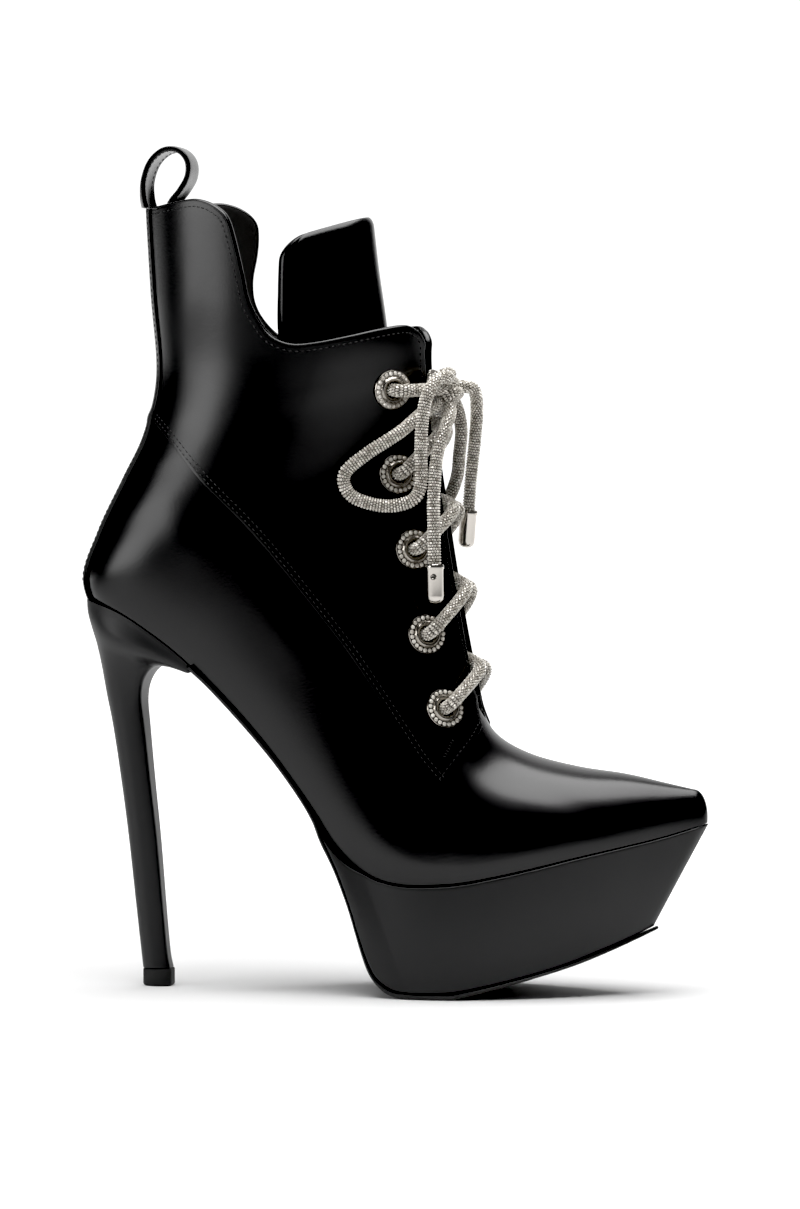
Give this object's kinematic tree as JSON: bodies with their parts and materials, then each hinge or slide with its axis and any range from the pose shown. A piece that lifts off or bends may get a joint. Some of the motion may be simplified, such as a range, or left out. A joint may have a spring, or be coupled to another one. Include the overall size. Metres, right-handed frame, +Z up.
{
  "type": "platform stiletto bootie",
  "caption": "Pointed ankle boot on a wrapped platform and a slim high heel, with a padded tongue, a pull loop and a stone-covered lace tied in a bow through stone-set eyelets.",
  "frame": {"origin": "middle of the footprint, on the floor", "axes": "+X towards the toe, +Y towards the inner side of this right shoe, +Z up"},
  "size_m": [0.2496, 0.0764, 0.3322],
  "materials": {
    "black_leather": "smooth, semi-gloss",
    "wrapped_leather": "smooth, satin",
    "insole_leather": "matt",
    "outsole_sheet": "satin",
    "lift_rubber": "matt",
    "stone_metal": "clear stones in polished metal",
    "stone_cord": "cord covered in small clear stones",
    "nickel": "polished"
  },
  "bodies": {
    "root": {"upper": "black_leather", "insole": "insole_leather", "platform": "wrapped_leather", "outsole": "outsole_sheet", "heel": "wrapped_leather", "heel_lift": "lift_rubber", "tongue": "black_leather", "pull_loop": "black_leather", "eyelet_lateral_1": "stone_metal", "eyelet_lateral_2": "stone_metal", "eyelet_lateral_3": "stone_metal", "eyelet_lateral_4": "stone_metal", "eyelet_lateral_5": "stone_metal", "eyelet_medial_1": "stone_metal", "eyelet_medial_2": "stone_metal", "eyelet_medial_3": "stone_metal", "eyelet_medial_4": "stone_metal", "eyelet_medial_5": "stone_metal", "lace_bar": "stone_cord", "lace_cross_1": "stone_cord", "lace_cross_2": "stone_cord", "lace_cross_3": "stone_cord", "lace_cross_4": "stone_cord", "lace_knot": "stone_cord", "lace_loop_lateral": "stone_cord", "lace_loop_medial": "stone_cord", "lace_end_lateral": "stone_cord", "lace_end_medial": "stone_cord", "aglet_lateral": "nickel", "aglet_medial": "nickel"}
  },
  "joints": []
}
